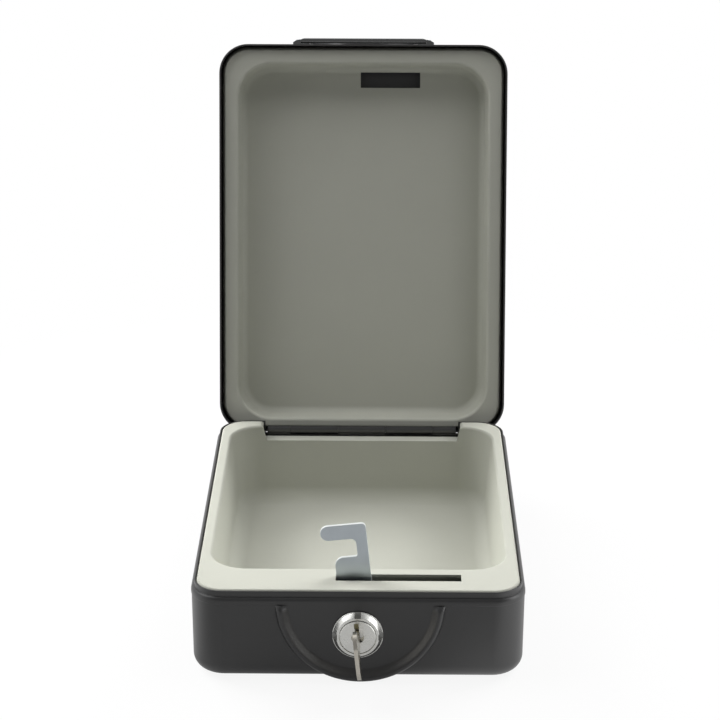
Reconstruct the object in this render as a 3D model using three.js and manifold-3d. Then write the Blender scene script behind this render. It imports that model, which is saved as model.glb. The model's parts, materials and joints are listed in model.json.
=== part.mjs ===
// Portable car safe with a hinged lid, a key lock that turns a hook, and a folding bail handle.
// Millimetres. +X right, +Y to the back, +Z up. The origin is the middle of the base's underside.
// The lid is drawn closed and its group then swings it open. The safe is shown open and unlocked to view.

import * as THREE from 'three';
import { mergeVertices } from 'three/addons/utils/BufferGeometryUtils.js';
import Module from 'manifold-3d';

const wasm = await Module();
wasm.setup();

// Driving sizes

const width = 170; // across the base's collar and the lid
const depth = 230; // front to back across the same faces
const planRadius = 17; // corner radius seen from above
const clearance = 0.3; // between pieces that seat on each other
const cornerSteps = 7; // facets in a quarter turn of a plan corner
const filletSteps = 4; // facets in a quarter turn of a fillet

const baseWall = 1.2; // steel of the base
const baseBottomRadius = 8; // drawn edge round the underside
const collarTop = 46; // height of the ledge that the lid lands on
const collarHeight = 4;
const collarProud = 0.5;
const tongueHeight = 3; // upright edge inside the lid
const tongueInset = 1.6; // from the collar's face to the tongue's face
const tongueThickness = 0.9;

const lidWall = 1;
const lidHeight = 36.2; // rim to top
const lidTopRadius = 9;
const lidOpenAngle = 105; // degrees from closed to its stop

const linerThickness = 1.5;
const linerInset = 2.8; // from the safe's outer face to the liner's edge
const linerTop = collarTop + tongueHeight + 0.3;
const trayWall = 1.8;
const traySide = 6; // width of the flat edge beside the tray
const trayFrontLedge = 25.5; // flat ledge over the lock
const trayRearLedge = 7.8;
const trayRadius = 19;
const trayDraft = 3;
const trayFloorRadius = 10;
const trayLipRadius = 1.5;

const hingeInset = 1.9; // pin centre in front of the rear face
const hingeDrop = 2.5; // pin centre below the collar's top
const knuckleRadius = 2.3;
const hingePinRadius = 1.05;
const knucklePitch = 28.4; // middle knuckles, with half a pitch at each end
const knuckleCount = 4; // pitches along the hinge
const leafThickness = 0.9;
const leafReach = 13.5;

const lockHeight = 26.3; // lock axis above the underside
const bezelRadius = 12.9;
const bezelFaceRadius = 10.8;
const bezelProud = 3.3;
const barrelRadius = 9.4;
const barrelLength = 15;
const plugFaceRadius = 9.2;
const plugFaceThickness = 1.6;
const plugRadius = 6.2;
const spannerNotchHalf = 1.65; // four notches in the rosette's bevel
const spannerNotchFloor = 10.4;
const spannerNotchDepth = 2.8;
const keyholeRadius = 3.2; // shallow round sink in the plug's face
const keyholeDepth = 0.6;
const keyholeTop = 7.8; // slot above the key
const lockTurn = -6; // degrees that the plug stands from upright, seen from the front
const nutAcrossFlats = 24;
const nutThickness = 4;
const washerThickness = 0.8;

const camThickness = 2;
const camHalfWidth = 9.1;
const hookTop = 52.5; // sizes along the hook are from the lock axis
const hookBarHeight = 8.1;
const hookThroat = 9.8;
const hookReach = 14.3; // tip of the hook past the axis
const hookStemWidth = 5.8;
const hookTipRadius = 4;
const hookEdgeRadius = 4.6;
const hookCornerRadius = 2.2;
const hookInnerRadius = 2.6; // under the bar
const hookThroatRadius = 1.2;
const camPlane = 18.4; // front face of the body to the middle of the hook
const camDriveRadius = 4.2;
const camDriveFlat = 2.9;
const camStudRadius = 3;
const camWasherRadius = 7;
const camNutAcrossFlats = 8;
const camNutThickness = 3;

const waferCount = 5;
const waferPitch = 2.8;
const waferThickness = 0.7;
const waferHalfWidth = 3.3;
const waferHalfHeight = 5.2;

const keyThickness = 2;
const keyBladeThickness = 1.8;
const keyBladeHalf = 3;
const keyBladeLength = 17.5;
const keyBowHalf = 12.5;
const keyBowFront = 28.6; // in front of the plug's face
const keyBowBack = 16.3;
const keyBowRadius = 7;
const keyShoulderRadius = 4; // bow's corners next to the neck
const keyNeckHalf = 4;
const keyHoleRadius = 2.8;
const keyCuts = [0.7, 1.4, 0.4, 1.1, 0.7]; // depth of each cut in the blade

const pocketRadius = 42.9; // pressed half round that frames the lock and the hanging handle
const pocketCentre = 42.8; // its centre above the underside
const pocketShift = 1.2; // its centre to the right of the lock
const pocketCrestRadius = 40.6;
const pocketProud = 2.9; // crest beyond the front wall
const pocketFloorRadius = 35.4;
const pocketFloorProud = collarProud; // so that the ledge's lower edge runs out into it
const pocketEdge = 0.8; // rounding at the foot and the crest

const handleThickness = 3;
const handleRadius = 33.9; // the round grip hangs inside the pressed frame
const handleGripWidth = 4.6;
const handleBarHalf = 37; // half the length of the bar that turns on the pins
const handlePivotRise = 2.7; // pivot above the collar's top when the lid is shut
const handleStandOff = 0.6; // lid's wall to the back of the handle
const handleEndChamfer = 3;
const handleEdge = 0.8;
const handlePinRadius = 0.7;
const handlePinGrip = 5; // pin inside the bar
const lugWidth = 4;
const lugSlope = 1.7;
const lugHalf = 2.3;

const recessSide = 8.2; // flat edge round the lid liner's recess
const recessFront = 8.7;
const recessRear = 5.2;
const recessRadius = 20;
const recessDepth = 22; // rim of the lid to the recessed panel
const recessDraft = 1.2;
const recessFillet = 3;
const panelThickness = 1;
const skirtInset = 1.5; // how far the liner's skirt leans out to the lid's wall
const skirtLean = 6;
const skirtHeight = 13;

const strikeThickness = 1;
const strikeSide = 7.2; // steel beside the slot
const strikeWeb = 8; // from the slot back to the web
const strikeFoot = 12;

const slotStart = 0.4; // room beside the upright hook in the base's slot
const slotEnd = 3.37; // room beyond the hook's tip as it swings down
const lidSlotMargin = 0.6;
const lidSlotFront = 3.2; // from the middle of the hook
const lidSlotBack = 6;

// Sizes that follow from them

const lidRim = collarTop + clearance;
const lidTop = lidRim + lidHeight;
const frontFace = -depth / 2 + collarProud;
const frontInner = frontFace + baseWall;
const hingeY = depth / 2 - hingeInset;
const hingeZ = collarTop - hingeDrop;
const leafFront = depth / 2 - collarProud - baseWall - clearance - leafThickness; // of the base's leaf
const hingeGap = clearance + 0.1;
const knuckleGapRadius = knuckleRadius + hingeGap;
const hingeHalf = (knucklePitch * knuckleCount) / 2 - 0.6;
const notchHalf = hingeHalf + 1.2;
const camMiddle = frontFace + camPlane;
const camFront = camMiddle - camThickness / 2;
const camBack = camMiddle + camThickness / 2;
const pocketFloor = frontFace - pocketFloorProud;
const lockSeat = pocketFloor - clearance;
const bezelFace = lockSeat - bezelProud;
const plugFace = bezelFace - 0.2;
const barrelEnd = frontFace + barrelLength;
const handleY = -depth / 2 - handleStandOff - handleThickness / 2;
const handleHeel = handleThickness / 2;
const handleZ = collarTop + handlePivotRise;
const flangeHeight = linerTop + 0.7; // underside of the lid liner's flat edge
const panelHeight = lidRim + recessDepth;
const hookTipReach = Math.hypot(hookReach - hookTipRadius, hookTop - hookTipRadius) + hookTipRadius;

const radians = THREE.MathUtils.degToRad;

// Solids and geometry

function toSolid(geometry) {
  const bare = geometry.clone();
  bare.deleteAttribute('normal');
  bare.deleteAttribute('uv');
  const merged = mergeVertices(bare, 1e-4);
  const vertProperties = new Float32Array(merged.attributes.position.array);
  const corners = merged.index.array;
  const kept = [];
  for (let k = 0; k < corners.length; k += 3) {
    const [a, b, c] = corners.slice(k, k + 3);
    if (a !== b && b !== c && c !== a) {
      kept.push(a, b, c);
    }
  }
  const triVerts = new Uint32Array(kept);
  const solid = new wasm.Manifold(new wasm.Mesh({ numProp: 3, vertProperties, triVerts }));
  if (solid.volume() > 0) {
    return solid;
  }
  // drawn inside out, so its triangles are turned over
  return new wasm.Manifold(new wasm.Mesh({ numProp: 3, vertProperties, triVerts: triVerts.reverse() }));
}

function toGeometry(solid) {
  const mesh = solid.getMesh();
  const geometry = new THREE.BufferGeometry();
  geometry.setAttribute('position', new THREE.BufferAttribute(new Float32Array(mesh.vertProperties), 3));
  geometry.setIndex(new THREE.BufferAttribute(new Uint32Array(mesh.triVerts), 1));
  geometry.computeVertexNormals();
  return geometry;
}

// A block between two opposite corners
function block(low, high) {
  const size = high.map((value, axis) => value - low[axis]);
  const geometry = new THREE.BoxGeometry(...size);
  geometry.translate(...low.map((value, axis) => value + size[axis] / 2));
  return toSolid(geometry);
}

// A shape drawn in X and Z, given thickness from front to back
function sideways(shape, front, back, curveSegments = 8, bevel = 0) {
  const geometry = new THREE.ExtrudeGeometry(shape, {
    depth: back - front - 2 * bevel,
    bevelEnabled: bevel > 0,
    bevelThickness: bevel,
    bevelSize: bevel,
    bevelOffset: -bevel,
    bevelSegments: 2,
    curveSegments,
  });
  geometry.rotateX(Math.PI / 2);
  geometry.translate(0, back - bevel, 0);
  return toSolid(geometry);
}

// A shape drawn in Y and Z, given thickness across X, half on each side of the middle
function crossways(shape, thickness, bevel = 0) {
  const geometry = new THREE.ExtrudeGeometry(shape, {
    depth: thickness - 2 * bevel,
    bevelEnabled: bevel > 0,
    bevelThickness: bevel,
    bevelSize: bevel,
    bevelOffset: -bevel,
    bevelSegments: 1,
    curveSegments: 7,
  });
  geometry.rotateX(Math.PI / 2);
  geometry.rotateZ(Math.PI / 2);
  geometry.translate(bevel - thickness / 2, 0, 0);
  return toSolid(geometry);
}

// A profile of [radius, distance behind the front face] turned about the lock's axis
function turned(profile, steps = 32) {
  const points = profile.map(([radius, y]) => new THREE.Vector2(radius, y));
  return toSolid(new THREE.LatheGeometry(points, steps));
}

function cylinderAlongX(radius, left, right, y, z, steps = 20) {
  const geometry = new THREE.CylinderGeometry(radius, radius, right - left, steps);
  geometry.rotateZ(Math.PI / 2);
  geometry.translate((left + right) / 2, y, z);
  return toSolid(geometry);
}

function cylinderAlongY(radius, front, back, steps = 32) {
  const geometry = new THREE.CylinderGeometry(radius, radius, back - front, steps);
  geometry.translate(0, (front + back) / 2, 0);
  return toSolid(geometry);
}

// A profile of [inset, height] carried round a rounded rectangle and closed at both ends
function dish(plan, profile) {
  const positions = [];
  const index = [];
  const count = 4 * (cornerSteps + 1);
  for (const [inset, height] of profile) {
    const radius = Math.max(plan.radius - inset, 0.4);
    const halfX = plan.width / 2 - inset - radius;
    const halfY = plan.depth / 2 - inset - radius;
    for (let corner = 0; corner < 4; corner += 1) {
      const signX = corner === 0 || corner === 3 ? 1 : -1;
      const signY = corner < 2 ? 1 : -1;
      for (let step = 0; step <= cornerSteps; step += 1) {
        const angle = (corner + step / cornerSteps) * Math.PI / 2;
        positions.push(signX * halfX + radius * Math.cos(angle));
        positions.push(plan.y + signY * halfY + radius * Math.sin(angle));
        positions.push(height);
      }
    }
  }
  for (let ring = 0; ring + 1 < profile.length; ring += 1) {
    for (let k = 0; k < count; k += 1) {
      const a = ring * count + k;
      const b = ring * count + ((k + 1) % count);
      index.push(a, b, b + count, a, b + count, a + count);
    }
  }
  const first = positions.length / 3;
  const last = first + 1;
  positions.push(0, plan.y, profile[0][1], 0, plan.y, profile[profile.length - 1][1]);
  const end = (profile.length - 1) * count;
  for (let k = 0; k < count; k += 1) {
    const next = (k + 1) % count;
    index.push(first, next, k, last, end + k, end + next);
  }
  const geometry = new THREE.BufferGeometry();
  geometry.setAttribute('position', new THREE.Float32BufferAttribute(positions, 3));
  geometry.setIndex(index);
  return toSolid(geometry);
}

// Points of a quarter turn, in [inset, height], from one angle to another in degrees
function turn(centreInset, centreHeight, radius, from, to) {
  const points = [];
  for (let step = 0; step <= filletSteps; step += 1) {
    const angle = radians(from + ((to - from) * step) / filletSteps);
    points.push([centreInset - radius * Math.cos(angle), centreHeight + radius * Math.sin(angle)]);
  }
  return points;
}

const safePlan = { width, depth, radius: planRadius, y: 0 };

// Base

// The space inside the base, with its walls this thick
function baseSpace(wall) {
  const radius = baseBottomRadius - wall;
  return dish(safePlan, [
    ...turn(collarProud + baseBottomRadius, baseBottomRadius, radius, -90, 0),
    [collarProud + wall, collarTop + tongueHeight + 1],
  ]);
}

// The pressed frame's front, moved back by a thickness, and solid as far as a plane behind it
function pocketForm(thickness, behind) {
  const at = (radius, proud) => [radius, frontFace - proud + thickness];
  const foot = pocketRadius - thickness;
  const form = turned([
    at(0, pocketFloorProud),
    at(pocketFloorRadius, pocketFloorProud),
    at(pocketFloorRadius + pocketEdge, pocketFloorProud + 0.25 * pocketEdge),
    at(pocketCrestRadius - pocketEdge, pocketProud - 0.2 * pocketEdge),
    at(pocketCrestRadius, pocketProud),
    at(pocketCrestRadius + pocketEdge, pocketProud - 0.25 * pocketEdge),
    at(foot - pocketEdge, 0.55 * pocketEdge),
    at(foot, 0),
    [foot, behind],
    [0, behind],
  ], 64).translate([pocketShift, 0, pocketCentre]);
  const top = collarTop - collarHeight - thickness;
  return form.intersect(block(
    [-2 * pocketRadius, frontFace - 2 * pocketProud, -1],
    [2 * pocketRadius, behind + 1, top],
  ));
}

function hingeNotch(low) {
  return block(
    [-notchHalf, depth / 2 - baseWall - tongueInset - tongueThickness, low],
    [notchHalf, depth / 2 + 1, collarTop + 2 * tongueHeight],
  );
}

function baseShell() {
  const edge = 0.4;
  const top = collarTop + tongueHeight;
  const tongueInner = tongueInset + tongueThickness;
  const inner = collarProud + baseWall;
  const innerRadius = baseBottomRadius - baseWall;
  const shell = dish(safePlan, [
    ...turn(collarProud + baseBottomRadius, baseBottomRadius, baseBottomRadius, -90, 0),
    [collarProud, collarTop - collarHeight],
    [0, collarTop - collarHeight + collarProud],
    [0, collarTop - edge],
    [edge, collarTop],
    [tongueInset, collarTop],
    [tongueInset, top - edge],
    [tongueInset + edge / 2, top],
    [tongueInner - edge / 2, top],
    [tongueInner, top - edge],
    [tongueInner, collarTop - 1],
    [inner, collarTop - 1 - 2 * (tongueInner - inner)],
    ...turn(inner + innerRadius, baseWall + innerRadius, innerRadius, 0, -90),
  ]);
  const lockHole = cylinderAlongY(barrelRadius + clearance, frontFace - 1, frontInner + 1)
    .translate([0, 0, lockHeight]);
  return shell
    .add(pocketForm(0, frontFace + baseBottomRadius).subtract(baseSpace(baseWall / 2)))
    .subtract(pocketForm(baseWall, frontInner + 0.1))
    .subtract(hingeNotch(hingeZ - knuckleGapRadius))
    .subtract(lockHole);
}

function baseLiner() {
  const edge = width / 2 - linerInset;
  const trayHalf = edge - traySide;
  const trayFront = -depth / 2 + linerInset + trayFrontLedge;
  const trayRear = depth / 2 - linerInset - trayRearLedge;
  const underside = linerTop - linerThickness;
  const tray = {
    width: 2 * trayHalf,
    depth: trayRear - trayFront,
    radius: trayRadius,
    y: (trayRear + trayFront) / 2,
  };
  const floor = baseWall + clearance + trayWall;
  const wallFoot = floor + trayFloorRadius;
  const tub = {
    width: tray.width + 2 * trayWall,
    depth: tray.depth + 2 * trayWall,
    radius: trayRadius + trayWall,
    y: tray.y,
  };
  const hollow = dish(tray, [
    ...turn(trayDraft + trayFloorRadius, wallFoot, trayFloorRadius, -90, 0),
    [0, linerTop - trayLipRadius],
    [-trayLipRadius, linerTop + 0.01],
    [-trayLipRadius, linerTop + 1],
  ]);
  const body = dish(tub, [
    ...turn(trayDraft + trayFloorRadius, wallFoot - trayWall, trayFloorRadius, -90, 0),
    [0, underside],
    [0, linerTop],
  ]);
  const flange = dish({ ...safePlan }, [
    [linerInset, underside],
    [linerInset, linerTop],
  ]);
  const notchFloor = hingeZ - knuckleGapRadius - hingeGap;
  const lipEdge = leafFront - hingeGap;
  const lip = block(
    [-notchHalf - 2, tray.y + tray.depth / 2, notchFloor - linerThickness],
    [notchHalf + 2, lipEdge, notchFloor],
  );
  const notchTop = new THREE.Shape();
  notchTop.moveTo(-notchHalf, notchFloor);
  notchTop.lineTo(notchHalf, notchFloor);
  notchTop.lineTo(notchHalf + 1.5, linerTop - 3);
  notchTop.quadraticCurveTo(notchHalf + 2, linerTop, notchHalf + 5, linerTop + 0.1);
  notchTop.lineTo(notchHalf + 5, linerTop + 1);
  notchTop.lineTo(-notchHalf - 5, linerTop + 1);
  notchTop.lineTo(-notchHalf - 5, linerTop + 0.1);
  notchTop.quadraticCurveTo(-notchHalf - 2, linerTop, -notchHalf - 1.5, linerTop - 3);
  notchTop.closePath();
  const notch = sideways(notchTop, tray.y + tray.depth / 2 - trayDraft - 2, depth / 2, 3);
  const end = slotEnds();
  const slot = block(
    [end.left, camMiddle - 5, underside - 1],
    [end.right, camMiddle + 2.5, linerTop + 1],
  );
  return body.add(flange).add(lip).subtract(hollow).subtract(notch).subtract(slot);
}

// Where the hook crosses the base liner as it swings
function slotEnds() {
  const rise = linerTop - linerThickness - lockHeight;
  const lean = radians(-lockTurn);
  return {
    left: -camHalfWidth / Math.cos(lean) - (rise + linerThickness) * Math.tan(lean) - slotStart,
    right: Math.sqrt(hookTipReach ** 2 - rise ** 2) + slotEnd,
  };
}

// Hinge

function knuckles(first) {
  const spans = [];
  for (let k = 0; k <= knuckleCount; k += 1) {
    const left = Math.max((k - 0.5) * knucklePitch - (knucklePitch * knuckleCount) / 2, -hingeHalf);
    const right = Math.min((k + 0.5) * knucklePitch - (knucklePitch * knuckleCount) / 2, hingeHalf);
    if (k % 2 === first) {
      spans.push([left + clearance / 2, right - clearance / 2]);
    }
  }
  return spans;
}

// A hinge leaf with its knuckles. side is 1 above the pin and -1 below it
function hingeLeaf(first, side, front) {
  const near = hingeZ + side * knuckleGapRadius;
  const far = hingeZ + side * (knuckleGapRadius + leafReach);
  let leaf = block(
    [-hingeHalf, front, Math.min(near, far)],
    [hingeHalf, front + leafThickness, Math.max(near, far)],
  );
  for (const [left, right] of knuckles(first)) {
    const tab = block(
      [left, front, Math.min(hingeZ, near + side)],
      [right, front + leafThickness, Math.max(hingeZ, near + side)],
    );
    leaf = leaf.add(tab).add(cylinderAlongX(knuckleRadius, left, right, hingeY, hingeZ));
  }
  const bore = cylinderAlongX(hingePinRadius + clearance, -hingeHalf - 1, hingeHalf + 1, hingeY, hingeZ);
  return leaf.subtract(bore);
}

function hingePin() {
  return cylinderAlongX(hingePinRadius, -hingeHalf - 0.4, hingeHalf + 0.4, hingeY, hingeZ);
}

// Lock. These pieces are drawn about the axis X = 0, Z = 0 and their group lifts them into place

function lockBody() {
  const bore = plugRadius + clearance;
  const counterbore = plugFaceRadius + clearance;
  const counterDepth = plugFace + plugFaceThickness + clearance;
  let body = turned([
    [bore, barrelEnd],
    [bore, counterDepth],
    [counterbore, counterDepth],
    [counterbore, bezelFace],
    [bezelFaceRadius, bezelFace],
    [bezelRadius - 0.5, lockSeat - 1.1],
    [bezelRadius, lockSeat - 0.5],
    [bezelRadius, lockSeat],
    [barrelRadius, lockSeat],
    [barrelRadius, barrelEnd],
    [bore, barrelEnd],
  ], 48);
  const notch = block(
    [-spannerNotchHalf, bezelFace - 1, spannerNotchFloor],
    [spannerNotchHalf, bezelFace + spannerNotchDepth, 2 * bezelRadius],
  );
  for (const angle of [0, 90, 180, 270]) {
    body = body.subtract(notch.rotate([0, angle, 0]));
  }
  return body;
}

function ringPlate(outer, inner, front, back, steps = 32) {
  return cylinderAlongY(outer, front, back, steps)
    .subtract(cylinderAlongY(inner, front - 1, back + 1, steps));
}

function nut(acrossFlats, bore, front, back) {
  const corner = acrossFlats / 2 / Math.cos(Math.PI / 6);
  return cylinderAlongY(corner, front, back, 6).subtract(cylinderAlongY(bore, front - 1, back + 1, 32));
}

function waferPlace(k) {
  return plugFace + plugFaceThickness + 1.6 + k * waferPitch;
}

function keyway(extra) {
  const halfX = keyBladeThickness / 2 + extra;
  const halfZ = keyBladeHalf + extra;
  const front = plugFace - 1;
  return block([-halfX, front, -halfZ], [halfX, plugFace + keyBladeLength + extra, halfZ])
    .add(block([-halfX, front, 0], [halfX, plugFace + plugFaceThickness + extra, keyholeTop]))
    .add(cylinderAlongY(keyholeRadius, front, plugFace + keyholeDepth, 24));
}

// Outline that stops the hook turning on the plug
function drive(extra) {
  const radius = camDriveRadius + extra;
  const flat = camDriveFlat + extra;
  return cylinderAlongY(radius, barrelEnd, camBack + 1, 24)
    .intersect(block([-flat, barrelEnd - 1, -radius - 1], [flat, camBack + 2, radius + 1]));
}

function lockPlug() {
  const stud = camBack + washerThickness + camNutThickness + 3 * clearance + 0.6;
  const shoulder = camFront - clearance;
  let plug = cylinderAlongY(plugFaceRadius, plugFace, plugFace + plugFaceThickness, 40)
    .add(cylinderAlongY(plugRadius, plugFace + 0.5, shoulder, 32))
    .add(drive(0).intersect(cylinderAlongY(2 * plugRadius, barrelEnd, camBack - clearance)))
    .add(cylinderAlongY(camStudRadius - clearance, barrelEnd, stud, 20))
    .subtract(keyway(clearance));
  const halfX = waferHalfWidth + clearance;
  for (let k = 0; k < waferCount; k += 1) {
    const y = waferPlace(k);
    const half = waferThickness / 2 + clearance;
    plug = plug.subtract(block([-halfX, y - half, -plugRadius - 1], [halfX, y + half, plugRadius + 1]));
  }
  return plug;
}

function wafer(k) {
  const y = waferPlace(k);
  const half = waferThickness / 2;
  const gap = clearance + 0.1;
  const windowX = keyBladeThickness / 2 + gap;
  const windowZ = keyBladeHalf + gap;
  return block([-waferHalfWidth, y - half, -waferHalfHeight], [waferHalfWidth, y + half, waferHalfHeight])
    .subtract(block([-windowX, y - 1, -windowZ], [windowX, y + 1, windowZ]));
}

function hookCam() {
  const barUnder = hookTop - hookBarHeight;
  const throatFloor = barUnder - hookThroat;
  const stemLeft = camHalfWidth - hookStemWidth;
  const tip = hookTipRadius - hookReach;
  const corner = hookCornerRadius;
  const inner = hookInnerRadius;
  const throat = hookThroatRadius;
  const edge = hookEdgeRadius;
  const outline = new THREE.Shape();
  outline.moveTo(camHalfWidth, 0);
  outline.absarc(camHalfWidth - corner, hookTop - corner, corner, 0, Math.PI / 2, false);
  outline.absarc(tip, hookTop - hookTipRadius, hookTipRadius, Math.PI / 2, Math.PI, false);
  outline.absarc(tip, barUnder + hookTipRadius, hookTipRadius, Math.PI, 1.5 * Math.PI, false);
  outline.absarc(stemLeft - inner, barUnder - inner, inner, Math.PI / 2, 0, true);
  outline.absarc(stemLeft - throat, throatFloor + throat, throat, 0, -Math.PI / 2, true);
  outline.absarc(edge - camHalfWidth, throatFloor - edge, edge, Math.PI / 2, Math.PI, false);
  outline.lineTo(-camHalfWidth, 0);
  outline.absarc(0, 0, camHalfWidth, Math.PI, 2 * Math.PI, false);
  return sideways(outline, camFront, camBack, 7).subtract(drive(clearance));
}

function key() {
  const face = plugFace - clearance;
  const bladeEnd = plugFace + keyBladeLength;
  const front = plugFace - keyBowFront;
  const back = plugFace - keyBowBack;
  const outline = new THREE.Shape();
  outline.moveTo(face, keyNeckHalf);
  outline.lineTo(back, keyNeckHalf);
  for (const [y, side, radius, turns] of [
    [back - keyShoulderRadius, 1, keyShoulderRadius, 0],
    [front + keyBowRadius, 1, keyBowRadius, 1],
    [front + keyBowRadius, -1, keyBowRadius, 2],
    [back - keyShoulderRadius, -1, keyShoulderRadius, 3],
  ]) {
    const start = (turns * Math.PI) / 2;
    outline.absarc(y, side * (keyBowHalf - radius), radius, start, start + Math.PI / 2, false);
  }
  outline.lineTo(back, -keyNeckHalf);
  outline.lineTo(face, -keyNeckHalf);
  outline.closePath();
  const hole = new THREE.Path();
  hole.absarc(front + 2 * keyHoleRadius, 0, keyHoleRadius, 0, 2 * Math.PI, true);
  outline.holes.push(hole);
  const tip = 2;
  const bladeOutline = new THREE.Shape();
  bladeOutline.moveTo(face - 2, -keyBladeHalf);
  bladeOutline.lineTo(bladeEnd - tip, -keyBladeHalf);
  bladeOutline.lineTo(bladeEnd, -keyBladeHalf + tip);
  bladeOutline.lineTo(bladeEnd, keyBladeHalf - 2 * tip);
  bladeOutline.lineTo(bladeEnd - tip, keyBladeHalf - tip);
  for (let k = waferCount - 1; k >= 0; k -= 1) {
    bladeOutline.lineTo(waferPlace(k) + 0.45 * waferPitch, keyBladeHalf);
    bladeOutline.lineTo(waferPlace(k) + 0.2 * waferPitch, keyBladeHalf - keyCuts[k]);
    bladeOutline.lineTo(waferPlace(k) - 0.2 * waferPitch, keyBladeHalf - keyCuts[k]);
    bladeOutline.lineTo(waferPlace(k) - 0.45 * waferPitch, keyBladeHalf);
  }
  bladeOutline.lineTo(face - 2, keyBladeHalf);
  bladeOutline.closePath();
  return crossways(outline, keyThickness, 0.3).add(crossways(bladeOutline, keyBladeThickness));
}

// Lid, drawn closed

function lidShell() {
  const edge = 0.3;
  const innerRadius = lidTopRadius - lidWall;
  return dish(safePlan, [
    ...turn(lidTopRadius, lidTop - lidTopRadius, lidTopRadius, 90, 0),
    [0, lidRim + edge],
    [edge, lidRim],
    [lidWall - edge, lidRim],
    [lidWall, lidRim + edge],
    ...turn(lidWall + innerRadius, lidTop - lidWall - innerRadius, innerRadius, 0, 90),
  ]);
}

function lidSlot(extra, low, high) {
  const rise = panelHeight - lockHeight;
  const left = camHalfWidth - hookStemWidth - rise * Math.tan(radians(-lockTurn)) - lidSlotMargin;
  const right = Math.sqrt(hookTipReach ** 2 - rise ** 2) + lidSlotMargin;
  return block(
    [left - extra, camMiddle - lidSlotFront - extra, low],
    [right + extra, camMiddle + lidSlotBack + extra, high],
  );
}

function lidLiner() {
  const recessHalf = width / 2 - linerInset - recessSide;
  const front = -depth / 2 + linerInset + recessFront;
  const rear = depth / 2 - linerInset - recessRear;
  const recess = { width: 2 * recessHalf, depth: rear - front, radius: recessRadius, y: (front + rear) / 2 };
  const lip = 1;
  const panelTop = panelHeight + panelThickness;
  const foot = panelHeight - recessFillet;
  const hollow = dish(recess, [
    ...turn(recessDraft + recessFillet, foot, recessFillet, 90, 0),
    [0, flangeHeight + lip],
    [-lip, flangeHeight - 0.01],
    [-lip, flangeHeight - 1],
  ]);
  const bulge = { ...recess, width: recess.width + 2 * linerThickness, depth: recess.depth + 2 * linerThickness };
  bulge.radius = recessRadius + linerThickness;
  const body = dish(bulge, [
    ...turn(recessDraft + recessFillet, panelTop - recessFillet, recessFillet, 90, 0),
    [0, flangeHeight + linerThickness],
    [0, flangeHeight],
  ]);
  const skirt = dish(safePlan, [
    [linerInset + 0.5, flangeHeight],
    [linerInset, flangeHeight + 0.5],
    [linerInset - skirtInset, flangeHeight + skirtLean],
    [linerInset - skirtInset, flangeHeight + skirtHeight],
    [linerInset - skirtInset + panelThickness, flangeHeight + skirtHeight],
    [linerInset - skirtInset + panelThickness, flangeHeight + skirtLean],
    [linerInset + panelThickness, flangeHeight + linerThickness],
  ]);
  const leafRelief = block(
    [-notchHalf, leafFront - clearance, flangeHeight - 1],
    [notchHalf, depth / 2, hingeZ + knuckleGapRadius + leafReach + 0.5],
  );
  const slot = lidSlot(0, panelHeight - 1, panelTop + 1);
  return skirt.add(body).subtract(hollow).subtract(leafRelief).subtract(slot);
}

// Bracket welded under the lid's top. Its edge beside the slot is what the hook holds
function strikeBracket() {
  const low = panelHeight + panelThickness + clearance;
  const roof = lidTop - lidWall - clearance;
  const slotFront = camMiddle - lidSlotFront;
  const slotBack = camMiddle + lidSlotBack + clearance;
  const left = camHalfWidth - hookStemWidth - (panelHeight - lockHeight) * Math.tan(radians(-lockTurn));
  const right = Math.sqrt(hookTipReach ** 2 - (panelHeight - lockHeight) ** 2);
  const web = slotBack + strikeWeb;
  const span = [left - strikeSide, right + strikeSide];
  const catchPlate = block([span[0], slotFront, low], [span[1], web, low + strikeThickness]);
  const upright = block([span[0], web - strikeThickness, low], [span[1], web, roof]);
  const foot = block([span[0], web - strikeThickness, roof - strikeThickness], [span[1], web + strikeFoot, roof]);
  return catchPlate.add(upright).add(foot)
    .subtract(lidSlot(clearance, low - 1, low + strikeThickness + 0.1));
}

// Handle, drawn folded up against the lid's front wall

function handleGrip() {
  const drop = handleZ - pocketCentre;
  const inner = handleRadius - handleGripWidth;
  const outline = new THREE.Shape();
  outline.moveTo(-handleBarHalf, -handleHeel);
  outline.lineTo(handleBarHalf, -handleHeel);
  outline.lineTo(handleBarHalf, handleHeel);
  outline.lineTo(handleRadius, handleHeel + handleBarHalf - handleRadius);
  outline.lineTo(handleRadius, drop);
  outline.absarc(0, drop, handleRadius, 0, Math.PI, false);
  outline.lineTo(-handleRadius, handleHeel + handleBarHalf - handleRadius);
  outline.lineTo(-handleBarHalf, handleHeel);
  outline.closePath();
  const opening = new THREE.Path();
  opening.moveTo(-inner, handleHeel);
  opening.lineTo(-inner, drop);
  opening.absarc(0, drop, inner, Math.PI, 0, true);
  opening.lineTo(inner, handleHeel);
  opening.closePath();
  outline.holes.push(opening);
  let grip = sideways(outline, -handleThickness / 2, handleThickness / 2, 20, handleEdge);
  for (const side of [-1, 1]) {
    const front = -handleThickness / 2 - 0.01;
    const back = handleThickness / 4;
    const corner = new THREE.Shape();
    corner.moveTo(side * (handleBarHalf - handleEndChamfer), front);
    corner.lineTo(side * (handleBarHalf + 1), front);
    corner.lineTo(side * (handleBarHalf + 1), back);
    corner.lineTo(side * handleBarHalf, back);
    corner.closePath();
    const wedge = new THREE.ExtrudeGeometry(corner, { depth: 4 * handleHeel, bevelEnabled: false });
    wedge.translate(0, 0, -2 * handleHeel);
    const ends = [side * (handleBarHalf + 1), side * (handleBarHalf - handlePinGrip - clearance)];
    const bore = cylinderAlongX(handlePinRadius + clearance, Math.min(...ends), Math.max(...ends), 0, 0, 16);
    grip = grip.subtract(toSolid(wedge)).subtract(bore);
  }
  return grip.translate([0, handleY, handleZ]);
}

function lugStart() {
  return handleBarHalf + 2 * clearance;
}

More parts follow.
